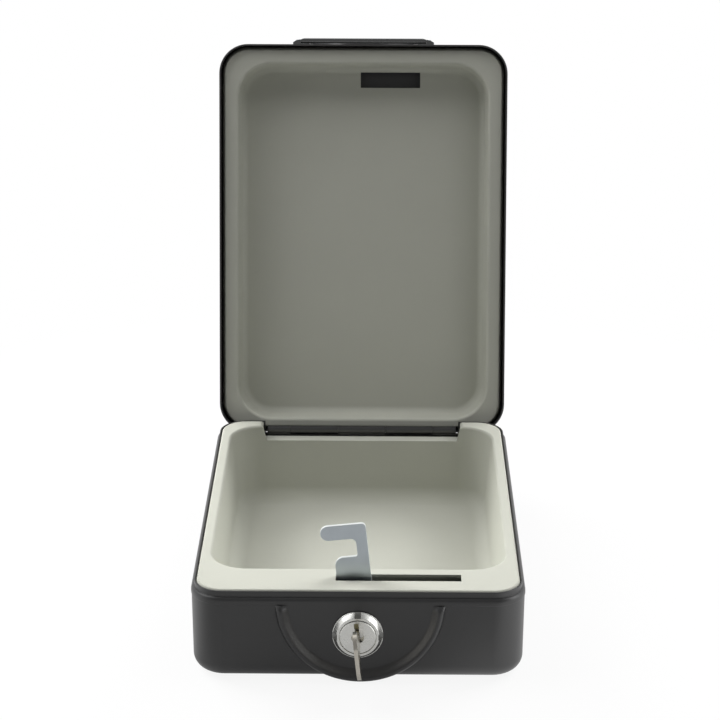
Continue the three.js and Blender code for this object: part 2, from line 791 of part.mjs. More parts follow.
function handleLug(side) {
  const wall = -depth / 2 - clearance;
  const proud = handleStandOff + handleThickness - 0.7;
  const start = lugStart();
  const outline = new THREE.Shape();
  outline.moveTo(side * start, wall);
  outline.lineTo(side * (start + lugWidth), wall);
  outline.lineTo(side * (start + lugWidth), wall - proud + lugSlope);
  outline.lineTo(side * (start + 0.35 * lugWidth), wall - proud);
  outline.lineTo(side * start, wall - proud);
  outline.closePath();
  const lug = new THREE.ExtrudeGeometry(outline, { depth: 2 * lugHalf, bevelEnabled: false });
  lug.translate(0, 0, handleZ - lugHalf);
  const left = Math.min(side * (start - 1), side * (start + 0.7 * lugWidth));
  const right = Math.max(side * (start - 1), side * (start + 0.7 * lugWidth));
  return toSolid(lug).subtract(cylinderAlongX(handlePinRadius + clearance, left, right, handleY, handleZ, 16));
}

function handlePin(side) {
  const inside = side * (handleBarHalf - handlePinGrip);
  const outside = side * (lugStart() + 0.7 * lugWidth - clearance);
  return cylinderAlongX(handlePinRadius, Math.min(inside, outside), Math.max(inside, outside),
    handleY, handleZ, 16);
}

// Assembly

const finishes = {
  black: new THREE.MeshStandardMaterial({ color: 0x353535, roughness: 0.45, metalness: 0.2 }),
  liner: new THREE.MeshStandardMaterial({ color: 0xd2d3c9, roughness: 0.95, metalness: 0 }),
  zinc: new THREE.MeshStandardMaterial({ color: 0x96a2a8, roughness: 0.35, metalness: 0.9 }),
  chrome: new THREE.MeshStandardMaterial({ color: 0xd0d0cc, roughness: 0.12, metalness: 1 }),
  nickel: new THREE.MeshStandardMaterial({ color: 0xc8c3b4, roughness: 0.25, metalness: 1 }),
  brass: new THREE.MeshStandardMaterial({ color: 0xb59a52, roughness: 0.3, metalness: 1 }),
  gloss: new THREE.MeshStandardMaterial({ color: 0x1b1c1e, roughness: 0.25, metalness: 0 }),
};

function place(group, name, solid, finish) {
  const mesh = new THREE.Mesh(toGeometry(solid), finishes[finish]);
  mesh.name = name;
  group.add(mesh);
}

const safe = new THREE.Group();

place(safe, 'base_shell', baseShell(), 'black');
place(safe, 'base_liner', baseLiner(), 'liner');
place(safe, 'hinge_base_leaf', hingeLeaf(0, -1, leafFront), 'black');
place(safe, 'hinge_pin', hingePin(), 'zinc');

const lock = new THREE.Group();
lock.position.z = lockHeight;
place(lock, 'lock_body', lockBody(), 'chrome');
const washerFront = pocketFloor + baseWall + clearance;
place(lock, 'lock_washer',
  ringPlate(bezelRadius, barrelRadius + clearance, washerFront, washerFront + washerThickness), 'zinc');
const nutFront = washerFront + washerThickness + clearance;
place(lock, 'lock_nut', nut(nutAcrossFlats, barrelRadius + clearance, nutFront, nutFront + nutThickness), 'zinc');
safe.add(lock);

const turning = new THREE.Group();
turning.rotation.y = radians(lockTurn);
place(turning, 'lock_plug', lockPlug(), 'chrome');
for (let k = 0; k < waferCount; k += 1) {
  place(turning, `lock_wafer_${k + 1}`, wafer(k), 'brass');
}
place(turning, 'hook_cam', hookCam(), 'zinc');
const camWasherFront = camBack + clearance;
place(turning, 'cam_washer',
  ringPlate(camWasherRadius, camStudRadius, camWasherFront, camWasherFront + washerThickness, 24), 'zinc');
const camNutFront = camWasherFront + washerThickness + clearance;
place(turning, 'cam_nut',
  nut(camNutAcrossFlats, camStudRadius, camNutFront, camNutFront + camNutThickness), 'zinc');
place(turning, 'key', key(), 'nickel');
lock.add(turning);

const lid = new THREE.Group();
lid.position.set(0, hingeY, hingeZ);
lid.rotation.x = radians(-lidOpenAngle);
const drawn = new THREE.Group();
drawn.position.set(0, -hingeY, -hingeZ);
lid.add(drawn);
place(drawn, 'lid_shell', lidShell(), 'black');
place(drawn, 'lid_liner', lidLiner(), 'liner');
place(drawn, 'hinge_lid_leaf', hingeLeaf(1, 1, leafFront + leafThickness - 0.2), 'black');
place(drawn, 'strike_bracket', strikeBracket(), 'zinc');
place(drawn, 'handle_grip', handleGrip(), 'gloss');
for (const [side, word] of [[-1, 'left'], [1, 'right']]) {
  place(drawn, `handle_lug_${word}`, handleLug(side), 'gloss');
  place(drawn, `handle_pin_${word}`, handlePin(side), 'zinc');
}
safe.add(lid);

export default safe;
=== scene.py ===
import json
import math

import bmesh
import bpy
from mathutils import Matrix, Vector


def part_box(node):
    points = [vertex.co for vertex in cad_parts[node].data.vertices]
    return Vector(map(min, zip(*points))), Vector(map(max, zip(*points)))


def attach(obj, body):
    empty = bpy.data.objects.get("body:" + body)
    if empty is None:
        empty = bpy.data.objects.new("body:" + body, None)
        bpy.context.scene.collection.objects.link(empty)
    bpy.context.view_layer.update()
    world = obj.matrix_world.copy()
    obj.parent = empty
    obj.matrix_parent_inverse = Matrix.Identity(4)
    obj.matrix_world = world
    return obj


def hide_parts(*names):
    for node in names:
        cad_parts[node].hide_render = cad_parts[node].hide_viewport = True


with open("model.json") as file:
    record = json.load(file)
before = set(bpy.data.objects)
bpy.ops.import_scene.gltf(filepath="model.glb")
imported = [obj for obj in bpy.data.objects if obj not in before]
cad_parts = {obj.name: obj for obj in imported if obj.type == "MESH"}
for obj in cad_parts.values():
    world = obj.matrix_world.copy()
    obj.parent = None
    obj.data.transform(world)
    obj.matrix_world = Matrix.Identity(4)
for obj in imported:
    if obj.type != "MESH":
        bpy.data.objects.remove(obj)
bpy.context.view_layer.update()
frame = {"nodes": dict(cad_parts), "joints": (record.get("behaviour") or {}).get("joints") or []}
print("frame loaded")

mm = 0.001  # shapes are drawn in millimetres


# sizes that come from the frame

def joint(name):
    return next(j for j in frame["joints"] if j["name"] == name)


def nodeBox(name):
    low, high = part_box(name)
    return low / mm, high / mm


shellHigh = nodeBox("base_shell")[1]
lockLow, lockHigh = nodeBox("lock_body")
pin = Vector(joint("lid_hinge")["pos_m"]) / mm
openAngle = joint("lid_hinge")["range_deg"][1]

safe = {
    "width": 2 * shellHigh.x,
    "depth": 2 * shellHigh.y,
    "corner": 17,
    "collarTop": 46,
    "collarProud": 0.5,  # beyond the walls
    "tongueTop": shellHigh.z,
    "gap": 0.3,
    "lockHeight": (lockLow.z + lockHigh.z) / 2,
    "lockLean": -6,  # how far the plug stands from upright, seen from the front
    "hookBack": 18.4,  # from the front wall to the middle of the hook
}
safePlan = {"width": safe["width"], "depth": safe["depth"], "corner": safe["corner"], "y": 0}
frontWall = -safe["depth"] / 2 + safe["collarProud"]
hookMiddle = frontWall + safe["hookBack"]
lidRim = safe["collarTop"] + safe["gap"]
overBase = 60  # a height above the whole base, for shapes that only cut

swing = Matrix.Rotation(math.radians(-openAngle), 4, "X")
openLid = Matrix.Translation(pin) @ swing @ Matrix.Translation(-pin)
onLock = Matrix.Translation((0, 0, safe["lockHeight"]))
onPlug = onLock @ Matrix.Rotation(math.radians(safe["lockLean"]), 4, "Y")


# mesh tools

leastCorner = 0.4  # the smallest corner radius of a ring, so that its points stay apart
weld = 0.004  # points nearer than this become one


def arc(inset, height, radius, start, end, steps=8):
    # a fillet in a profile of (inset, height), with 0 degrees pointing outwards and 90 up
    points = []
    for k in range(steps + 1):
        angle = math.radians(start + (end - start) * k / steps)
        points.append((inset - radius * math.cos(angle), height + radius * math.sin(angle)))
    return points


def curve(x, z, radius, start, end, steps=8):
    # a fillet in a flat outline, with 0 degrees pointing right and 90 up
    points = []
    for k in range(steps + 1):
        angle = math.radians(start + (end - start) * k / steps)
        points.append((x + radius * math.cos(angle), z + radius * math.sin(angle)))
    return points


def planRing(plan, inset, height, steps=14):
    corner = max(plan["corner"] - inset, leastCorner)
    halfX = plan["width"] / 2 - inset - corner
    halfY = plan["depth"] / 2 - inset - corner
    points = []
    for quarter, (signX, signY) in enumerate(((1, 1), (-1, 1), (-1, -1), (1, -1))):
        for k in range(steps + 1):
            angle = (quarter + k / steps) * math.pi / 2
            x = signX * halfX + corner * math.cos(angle)
            y = plan["y"] + signY * halfY + corner * math.sin(angle)
            points.append((x, y, height))
    return points


def planRings(plan, profile):
    return [planRing(plan, inset, height) for inset, height in profile]


def grownPlan(plan, wall):
    # the plan with a wall of this thickness round it
    return {
        "width": plan["width"] + 2 * wall,
        "depth": plan["depth"] + 2 * wall,
        "corner": plan["corner"] + wall,
        "y": plan["y"],
    }


def loft(rings, wrap=False):
    count = len(rings[0])
    rows = len(rings)
    faces = []
    for row in range(rows if wrap else rows - 1):
        above = (row + 1) % rows
        for k in range(count):
            n = (k + 1) % count
            faces.append((row * count + k, row * count + n, above * count + n, above * count + k))
    if not wrap:
        faces.append(tuple(reversed(range(count))))
        faces.append(tuple((rows - 1) * count + k for k in range(count)))
    return [point for ring in rings for point in ring], faces


def dish(plan, profile):
    return loft(planRings(plan, profile))


def turned(profile, steps=96):
    # a closed profile of (radius, y) turned about the Y axis
    rings = []
    for k in range(steps):
        angle = 2 * math.pi * k / steps
        rings.append([(r * math.cos(angle), y, r * math.sin(angle)) for r, y in profile])
    return loft(rings, wrap=True)


def rod(radius, low, high, centre, axis, edge=0.15, steps=32):
    # a cylinder with eased ends along X or Y
    rings = []
    ends = ((low, radius - edge), (low + edge, radius), (high - edge, radius), (high, radius - edge))
    for offset, r in ends:
        ring = []
        for k in range(steps):
            angle = 2 * math.pi * k / steps
            across, up = r * math.cos(angle), r * math.sin(angle)
            if axis == "X":
                ring.append((offset, centre[0] + across, centre[1] + up))
            else:
                ring.append((centre[0] + across, offset, centre[1] + up))
        rings.append(ring)
    return loft(rings)


def sheet(outline, front, back):
    # an outline in X and Z given thickness along Y
    return loft([[(x, front, z) for x, z in outline], [(x, back, z) for x, z in outline]])


def blade(outline, thickness):
    # an outline in Y and Z given thickness along X
    half = thickness / 2
    return loft([[(-half, y, z) for y, z in outline], [(half, y, z) for y, z in outline]])


def block(low, high):
    return loft([
        [(low[0], low[1], z), (high[0], low[1], z), (high[0], high[1], z), (low[0], high[1], z)]
        for z in (low[2], high[2])
    ])


def rawMesh(name, shells, place=None):
    points, faces = [], []
    for shellPoints, shellFaces in shells:
        start = len(points)
        points += shellPoints
        faces += [tuple(start + k for k in face) for face in shellFaces]
    data = bpy.data.meshes.new(name)
    data.from_pydata([Vector(p) * mm for p in points], [], faces)
    shape = bmesh.new()
    shape.from_mesh(data)
    bmesh.ops.remove_doubles(shape, verts=shape.verts, dist=weld * mm)
    bmesh.ops.recalc_face_normals(shape, faces=shape.faces)
    if place is not None:
        scaled = Matrix.Scale(mm, 4) @ place @ Matrix.Scale(1 / mm, 4)
        bmesh.ops.transform(shape, matrix=scaled, verts=shape.verts)
    shape.to_mesh(data)
    shape.free()
    made = bpy.data.objects.new(name, data)
    bpy.context.scene.collection.objects.link(made)
    return made


def settle(piece):
    # turns the piece's modifiers into its mesh
    bpy.context.view_layer.update()
    seen = piece.evaluated_get(bpy.context.evaluated_depsgraph_get())
    settled = bpy.data.meshes.new_from_object(seen)
    piece.modifiers.clear()
    piece.data = settled


def makePiece(name, body, finish, shells, nodes=(), joined=(), cuts=(), bevel=0, place=None, sharp=32):
    piece = rawMesh(name, shells, place)
    tools = []
    for operation, group in (("UNION", joined), ("DIFFERENCE", cuts)):
        for shell in group:
            tool = rawMesh("tool", [shell], place)
            tools.append(tool)
            change = piece.modifiers.new("cut", "BOOLEAN")
            change.operation = operation
            change.object = tool
            change.solver = "EXACT"
    if bevel:
        ease = piece.modifiers.new("ease", "BEVEL")
        ease.width = bevel * mm
        ease.segments = 3
        ease.limit_method = "ANGLE"
        ease.angle_limit = math.radians(sharp)
    settle(piece)
    for tool in tools:
        bpy.data.objects.remove(tool)
    piece.data.shade_smooth()
    piece.data.set_sharp_from_angle(angle=math.radians(sharp))
    even = piece.modifiers.new("even", "WEIGHTED_NORMAL")
    even.keep_sharp = True
    even.weight = 90
    settle(piece)
    piece.data.materials.clear()
    piece.data.materials.append(finish)
    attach(piece, body)
    if nodes:
        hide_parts(*nodes)
    return piece


# finishes

class Shade:
    # wraps a socket, so that an expression on values adds its Math nodes

    def __init__(self, tree, socket=None):
        self.tree = tree
        self.socket = socket

    def node(self, kind, settings=None, sockets=None, out=0):
        made = self.tree.nodes.new("ShaderNode" + kind)
        for name, value in (settings or {}).items():
            setattr(made, name, value)
        for name, value in (sockets or {}).items():
            if isinstance(value, Shade):
                self.tree.links.new(value.socket, made.inputs[name])
            else:
                made.inputs[name].default_value = value
        return Shade(self.tree, made.outputs[out] if made.outputs else None)

    def maths(self, operation, first, second):
        return self.node("Math", {"operation": operation}, {0: first, 1: second})

    def __add__(self, other):
        return self.maths("ADD", self, other)

    def __radd__(self, other):
        return self.maths("ADD", other, self)

    def __sub__(self, other):
        return self.maths("SUBTRACT", self, other)

    def __rsub__(self, other):
        return self.maths("SUBTRACT", other, self)

    def __mul__(self, other):
        return self.maths("MULTIPLY", self, other)

    def __rmul__(self, other):
        return self.maths("MULTIPLY", other, self)


def grey(value):
    return (value, value, value, 1)


def newFinish(name):
    material = bpy.data.materials.new(name)
    material.use_nodes = True
    material.node_tree.nodes.clear()
    return material, Shade(material.node_tree)


def noise(start, scale, detail=3, stretch=None, roughness=0.5):
    place = start.node("TexCoord", out="Object")
    if stretch:
        place = start.node("VectorMath", {"operation": "MULTIPLY"}, {0: place, 1: stretch})
    sockets = {"Vector": place, "Scale": scale, "Detail": detail, "Roughness": roughness}
    return start.node("TexNoise", {"noise_dimensions": "3D"}, sockets)


def blended(start, factor, first, second):
    return start.node("Mix", {"data_type": "RGBA"}, {0: factor, 6: first, 7: second}, out=2)


def varied(middle, *spreads):
    # a value that each texture moves up and down by half its spread
    for texture, spread in spreads:
        middle = middle + spread * (texture - 0.5)
    return middle


def mapped(start, value, edge, first, last, smooth=True):
    # goes from first to last while the value crosses the edge, which has a low and a high end
    settings = {"interpolation_type": "SMOOTHSTEP"} if smooth else None
    return start.node("MapRange", settings, {0: value, 1: edge[0], 2: edge[1], 3: first, 4: last})


def bumped(start, height, distance):
    return start.node("Bump", None, {"Height": height, "Distance": distance * mm, "Strength": 1})


def surface(start, sockets):
    shader = start.node("BsdfPrincipled", None, sockets)
    start.node("OutputMaterial", None, {"Surface": shader})


coatLook = {
    "dark": (0.009, 0.009, 0.0096, 1),
    "light": (0.014, 0.014, 0.0148, 1),
    "cloudScale": 60,
    "grainScale": 1500,
    "roughness": 0.38,
    "grainSpread": 0.08,
    "cloudSpread": 0.05,
    "peel": 0.01,
    "specular": 1,
}


def blackCoatFinish():
    # satin charcoal powder coat with a very fine orange peel
    look = coatLook
    material, start = newFinish("blackCoat")
    cloud = noise(start, look["cloudScale"], 2)
    grain = noise(start, look["grainScale"], 2)
    surface(start, {
        "Base Color": blended(start, cloud, look["dark"], look["light"]),
        "Roughness": varied(look["roughness"], (grain, look["grainSpread"]), (cloud, look["cloudSpread"])),
        "Normal": bumped(start, grain, look["peel"]),
        "Specular IOR Level": look["specular"],
    })
    return material


liningLook = {
    "dark": (0.47, 0.475, 0.42, 1),
    "light": (0.53, 0.535, 0.475, 1),
    "cloudScale": 25,
    "napScale": 1900,
    "roughness": 0.92,
    "napSpread": 0.08,
    "nap": 0.07,
    "specular": 0.15,
}


def trayLiningFinish():
    # soft flocked lining, matt, with a short close nap
    look = liningLook
    material, start = newFinish("trayLining")
    cloud = noise(start, look["cloudScale"], 3)
    nap = noise(start, look["napScale"], 4, roughness=0.7)
    surface(start, {
        "Base Color": blended(start, cloud * 0.5 + nap * 0.5, look["dark"], look["light"]),
        "Roughness": look["roughness"] + look["napSpread"] * nap,
        "Normal": bumped(start, nap, look["nap"]),
        "Specular IOR Level": look["specular"],
    })
    return material


zincLook = {
    "rolledScale": 30,
    "rolledStretch": (40, 40, 1.2),
    "cloudScale": 90,
    "roughness": 0.34,
    "rolledSpread": 0.16,
    "cloudSpread": 0.1,
    "lines": 0.004,
}


def zincFinish(name, dark, light, metallic=1):
    # zinc-plated steel with faint rolling lines
    look = zincLook
    material, start = newFinish(name)
    rolled = noise(start, look["rolledScale"], 4, stretch=look["rolledStretch"])
    cloud = noise(start, look["cloudScale"], 3)
    surface(start, {
        "Base Color": blended(start, cloud, dark + (1,), light + (1,)),
        "Metallic": metallic,
        "Roughness": varied(look["roughness"], (rolled, look["rolledSpread"]), (cloud, look["cloudSpread"])),
        "Normal": bumped(start, rolled, look["lines"]),
    })
    return material


platedLook = {
    "hazeScale": 220,
    "hairScale": 500,
    "hairStretch": (1, 1, 7),
    "darkShare": 0.88,
    "hazeSpread": 0.12,
    "hairSpread": 0.08,
    "hairlines": 0.002,
}


def platedFinish(name, tint, roughness):
    # polished metal with the faint haze and hairlines of use
    look = platedLook
    material, start = newFinish(name)
    haze = noise(start, look["hazeScale"], 4)
    hair = noise(start, look["hairScale"], 3, stretch=look["hairStretch"])
    dark = [look["darkShare"] * c for c in tint]
    surface(start, {
        "Base Color": blended(start, haze, dark + [1], list(tint) + [1]),
        "Metallic": 1,
        "Roughness": varied(roughness, (haze, look["hazeSpread"]), (hair, look["hairSpread"])),
        "Normal": bumped(start, hair, look["hairlines"]),
    })
    return material


handleLook = {
    "dark": (0.006, 0.0065, 0.007, 1),
    "light": (0.011, 0.012, 0.013, 1),
    "cloudScale": 150,
    "roughness": 0.2,
    "cloudSpread": 0.1,
    "peel": 0.01,
    "specular": 1,
    "ior": 1.9,
}


def handleBlackFinish():
    # dark handle with a soft gloss
    look = handleLook
    material, start = newFinish("handleBlack")
    cloud = noise(start, look["cloudScale"], 3)
    surface(start, {
        "Base Color": blended(start, cloud, look["dark"], look["light"]),
        "Roughness": varied(look["roughness"], (cloud, look["cloudSpread"])),
        "Normal": bumped(start, cloud, look["peel"]),
        "Specular IOR Level": look["specular"],
        "IOR": look["ior"],
    })
    return material


blackCoat = blackCoatFinish()
trayLining = trayLiningFinish()
zinc = zincFinish("zinc", (0.52, 0.575, 0.61), (0.69, 0.745, 0.79))
# the strike bracket's zinc, darkened as painted shade inside the lid's slot
slotShadeZinc = zincFinish("strikeZincPaintedShade", (0.25, 0.25, 0.27), (0.35, 0.345, 0.37))
# a pale, nearly matt zinc for the hook's edges: a painted highlight of the light they catch from above
paintedEdgeHighlight = zincFinish("paintedEdgeHighlight", (0.7, 0.73, 0.73), (0.78, 0.81, 0.81), metallic=0.2)
chrome = platedFinish("lockChrome", (0.97, 0.97, 0.93), 0.26)
nickel = platedFinish("keyNickel", (0.74, 0.70, 0.62), 0.22)
brass = platedFinish("waferBrass", (0.6, 0.47, 0.2), 0.3)
# a dark copy of the chrome for the bezel's notch floors: painted shade, as the flat floors look dark
notchShadeChrome = platedFinish("notchShadeChrome", (0.32, 0.32, 0.31), 0.4)
# a darker copy of the wafers' brass: painted shade inside the keyhole's slot
slotShadeBrass = platedFinish("slotShadeBrass", (0.36, 0.33, 0.2), 0.35)
handleBlack = handleBlackFinish()
print("finishes made")


# base

base = {
    "wall": 1.2,
    "bottomRadius": 8,
    "collarHeight": 4,
    "collarFillet": 0.4,
    "rollIn": 1.45,  # how far the collar's upper edge rolls in
    "rollDown": 2.4,  # and how far down the roll starts
    "tongueInset": 1.6,
    "tongueThickness": 0.9,
    "tongueEdge": 0.3,
    "tongueFoot": 0.15,
    "stepTop": 1,  # the inside steps from the tongue to the wall, below the collar's top
    "stepFoot": 2.6,
    "notchHalf": 57.4,
    "notchFloor": 41,
    "lockHole": 9.7,
}


def lockHole():
    return rod(base["lockHole"], frontWall - 5, frontWall + 5, (0, safe["lockHeight"]), "Y", steps=48)


def makeBaseShell():
    top, tongue, proud = safe["collarTop"], safe["tongueTop"], safe["collarProud"]
    outerRadius = base["bottomRadius"]
    innerRadius = outerRadius - base["wall"]
    ledge = top - base["collarHeight"]
    fillet, edge, foot = base["collarFillet"], base["tongueEdge"], base["tongueFoot"]
    face = base["tongueInset"]
    inside = face + base["tongueThickness"]
    wall = proud + base["wall"]
    roll = arc(1, 0, 1, 0, 90, 10)
    profile = arc(proud + outerRadius, outerRadius, outerRadius, -90, 0, 12)
    profile += arc(fillet, ledge + proud, fillet, -70, 0, 4)
    profile += [(base["rollIn"] * inset, top - base["rollDown"] * (1 - height)) for inset, height in roll]
    profile += [(face - foot, top), (face, top + foot)]
    profile += arc(face + edge, tongue - edge, edge, 0, 90, 4)
    profile += arc(inside - edge, tongue - edge, edge, 90, 180, 4)
    profile += [(inside, top - base["stepTop"]), (wall, top - base["stepFoot"])]
    profile += arc(proud + outerRadius, outerRadius, innerRadius, 0, -90, 8)
    half, rear = base["notchHalf"], safe["depth"] / 2
    notch = block((-half, rear - 5, base["notchFloor"]), (half, rear + 2, overBase))
    makePiece("baseShell", "base", blackCoat, [dish(safePlan, profile)],
              nodes=["base_shell"], cuts=[notch, lockHole()])


pocket = {
    "radius": 42.9,
    "centre": 42.8,  # height of the round's middle
    "shift": 1.2,  # to the right of the lock
    "crest": 40.1,
    "floorRadius": 35.7,
    "slopeStart": 0.6,  # inside the floor's edge, where the points across the frame get close together
    "proud": 3.2,
    "lowProud": 1.2,  # more at the bottom, because the wall curves back there
    "endRise": 0.3,  # above the collar's lower edge
    "endRound": 3.2,
    "endLoss": 0.8,  # share of its height that the crest has lost at its ends
    "floor": 0.505,  # just in front of the collar's face
    "back": 1,  # behind the face of the front wall
    "lipHigh": 6.5,  # the underside's lip starts to fade out at this height
    "lipFade": 3,
    "lipBack": 9,  # the frame's underside runs back this far below the base's rounded edge
    "lipThickness": 1.4,
    "closeStart": 0.96,  # angles in half turns, close together at the ends
    "closeStep": 0.006,
    "closeCount": 11,
    "wideStart": 1.022,
    "wideCount": 50,
}


def pocketProud(radius, crest):
    if radius < pocket["crest"]:
        part = (radius - pocket["floorRadius"]) / (pocket["crest"] - pocket["floorRadius"])
        part = min(max(part, 0), 1)
        return pocket["floor"] + (crest - pocket["floor"]) * part * part * (3 - 2 * part)
    part = (radius - pocket["crest"]) / (pocket["radius"] - pocket["crest"])
    return crest * math.sqrt(max(1 - part ** 2, 0))


def pocketAngles():
    # from the left end round the bottom to the right end
    start, count = pocket["wideStart"], pocket["wideCount"]
    half = [pocket["closeStart"] + pocket["closeStep"] * k for k in range(pocket["closeCount"])]
    half += [start + (1.5 - start) * k / count for k in range(count + 1)]
    return [math.pi * k for k in half + [3 - k for k in reversed(half[:-1])]]


def pocketSection(angle, radii, top):
    # points of (radius, height in front of the wall) across the frame at this angle
    radius, floor, centre = pocket["radius"], pocket["floor"], pocket["centre"]
    back, lipBack = pocket["back"], pocket["lipBack"]
    low = centre + radius * math.sin(angle)
    lip = 1 - min(max((low - pocket["lipHigh"]) / pocket["lipFade"], 0), 1)
    crest = pocket["proud"] + pocket["lowProud"] * max(-math.sin(angle), 0)
    section = []
    for r in radii:
        rise = (centre + r * math.sin(angle) - top) / pocket["endRound"] + 1
        fade = max(1 - pocket["endLoss"] * max(rise, 0) ** 2, 0)
        proud = pocketProud(r, crest)
        section.append((r, min(proud, floor) + max(proud - floor, 0) * fade))
    for side, under in ((0, 0.35), (0, 2.5), (0, lipBack), (pocket["lipThickness"], lipBack)):
        section.append((radius - side, -back + lip * (back - under)))
    return section + [(radius - pocket["lipThickness"] - 0.1, -back), (radii[0], -back)]


def makePocketFrame():
    # half round pressed out of the front wall round the lock
    radius = pocket["radius"]
    top = safe["collarTop"] - base["collarHeight"] + pocket["endRise"]
    slope = pocket["floorRadius"] - pocket["slopeStart"]
    radii = [0.5, 12, 24, 33] + [slope + (radius - slope) * k / 24 for k in range(24)]
    radii += [radius - 0.15, radius - 0.05, radius - 0.01, radius]
    rings = []
    for angle in pocketAngles():
        across, up = math.cos(angle), math.sin(angle)
        rings.append([
            (pocket["shift"] + r * across, frontWall - proud, pocket["centre"] + r * up)
            for r, proud in pocketSection(angle, radii, top)
        ])
    wide, ahead = 60, -130  # past the frame's sides and front
    ends = block((-wide, ahead, top), (wide, frontWall - pocket["floor"] - 0.03, overBase))
    above = block((-wide, ahead, top + 0.6), (wide, frontWall + 5, overBase))
    makePiece("pocketFrame", "base", blackCoat, [loft(rings)],
              cuts=[lockHole(), ends, above], sharp=40)


tray = {
    "thickness": 1.5,
    "wall": 1.8,
    "edgeInset": 2.8,
    "underInset": 0.3,
    "side": 6,
    "frontLedge": 25.5,
    "rearLedge": 7.8,
    "corner": 19,
    "draft": 3,
    "floorRadius": 9,
    "lip": 1.6,
    "edge": 1.4,
    "slot": (-11.4, 52.4),
    "slotBack": 2.5,  # from the middle of the hook
    "slotFront": 5,
    "notchHalf": 56.6,
    "notchDepth": 3.3,  # below the hinge's pin
    "notchFlare": 1.5,
    "notchRadius": 3,
    "shelfHalf": 58.6,
    "shelfBack": 2.2,  # in front of the hinge's pin
}


def makeBaseLiner():
    wall, thick, inset = tray["wall"], tray["thickness"], tray["edgeInset"]
    top = safe["tongueTop"] + safe["gap"]
    under = top - thick
    half = safe["width"] / 2 - inset - tray["side"]
    front = -safe["depth"] / 2 + inset + tray["frontLedge"]
    rear = safe["depth"] / 2 - inset - tray["rearLedge"]
    hollow = {"width": 2 * half, "depth": rear - front, "corner": tray["corner"], "y": (rear + front) / 2}
    tub = grownPlan(hollow, wall)
    floor = base["wall"] + safe["gap"] + wall
    radius, edge, lip = tray["floorRadius"], tray["edge"], tray["lip"]
    foot = tray["draft"] + radius
    rings = planRings(tub, arc(foot, floor - wall + radius, radius, -90, 0, 10))
    rings += [planRing(tub, 0, under), planRing(safePlan, inset + tray["underInset"], under)]
    rings += planRings(safePlan, arc(inset + edge, top - edge, edge, 0, 90, 5))
    rings += planRings(hollow, arc(-lip, top - lip, lip, 90, 180, 8))
    rings += planRings(hollow, arc(foot, floor + radius, radius, 0, -90, 14))
    notchFloor = pin.z - tray["notchDepth"]
    shelf = block((-tray["shelfHalf"], rear, notchFloor - thick),
                  (tray["shelfHalf"], pin.y - tray["shelfBack"], notchFloor))
    notchHalf, flare, turn = tray["notchHalf"], tray["notchFlare"], tray["notchRadius"]
    side, middle = notchHalf + flare + turn, top - turn + 0.1
    outline = [(-notchHalf, notchFloor), (notchHalf, notchFloor), (notchHalf + flare, top - turn)]
    outline += curve(side, middle, turn, 180, 92, 6) + [(side + 0.5, top + 3), (-side - 0.5, top + 3)]
    outline += curve(-side, middle, turn, 88, 0, 6) + [(-notchHalf - flare, top - turn)]
    notch = sheet(outline, rear - 6, safe["depth"] / 2 + 1)
    left, right = tray["slot"]
    slot = block((left, hookMiddle - tray["slotFront"], under - 3),
                 (right, hookMiddle + tray["slotBack"], top + 3))
    makePiece("baseLiner", "base", trayLining, [loft(rings)], nodes=["base_liner"],
              joined=[shelf], cuts=[notch, slot])


makeBaseShell()
makePocketFrame()
makeBaseLiner()
print("base made")


# hinge

hinge = {
    "radius": 2.3,
    "pitch": 28.4,
    "knuckles": 5,
    "half": 56.2,
    "joint": 0.03,
    "leaf": 0.9,
    "leafInset": 2.9,  # from the back of the safe to the front of the base's leaf
    "leafStep": 0.7,  # from there to the front of the lid's leaf
    "reach": 13.5,
    "gap": 0.4,
    "pinRadius": 1.05,
    "pinShort": 1,  # at each end
}


def makeHinge():
    half, pitch, radius = hinge["half"], hinge["pitch"], hinge["radius"]
    wall = safe["depth"] / 2 - hinge["leafInset"]
    leaves = (
        (0, -1, "base", wall, "hinge_base_leaf"),
        (1, 1, "lid", wall + hinge["leafStep"], "hinge_lid_leaf"),
    )
    for first, side, body, front, name in leaves:
        back = front + hinge["leaf"]
        near = pin.z + side * (radius + hinge["gap"])
        far = near + side * hinge["reach"]
        shells = [block((-half, front, min(near, far)), (half, back, max(near, far)))]
        for k in range(first, hinge["knuckles"], 2):
            middle = (k - (hinge["knuckles"] - 1) / 2) * pitch
            low = max(middle - pitch / 2, -half) + hinge["joint"]
            high = min(middle + pitch / 2, half) - hinge["joint"]
            shells.append(rod(radius, low, high, (pin.y, pin.z), "X", edge=0.2, steps=40))
            shells.append(block((low, front, min(pin.z, near)), (high, back, max(pin.z, near))))
        place = openLid if body == "lid" else None
        makePiece(name + "Made", body, blackCoat, shells, nodes=[name], place=place)
    end = half - hinge["pinShort"]
    pinShell = rod(hinge["pinRadius"], -end, end, (pin.y, pin.z), "X", steps=24)
    makePiece("hingePin", "base", zinc, [pinShell], nodes=["hinge_pin"])


makeHinge()
print("hinge made")


# lock

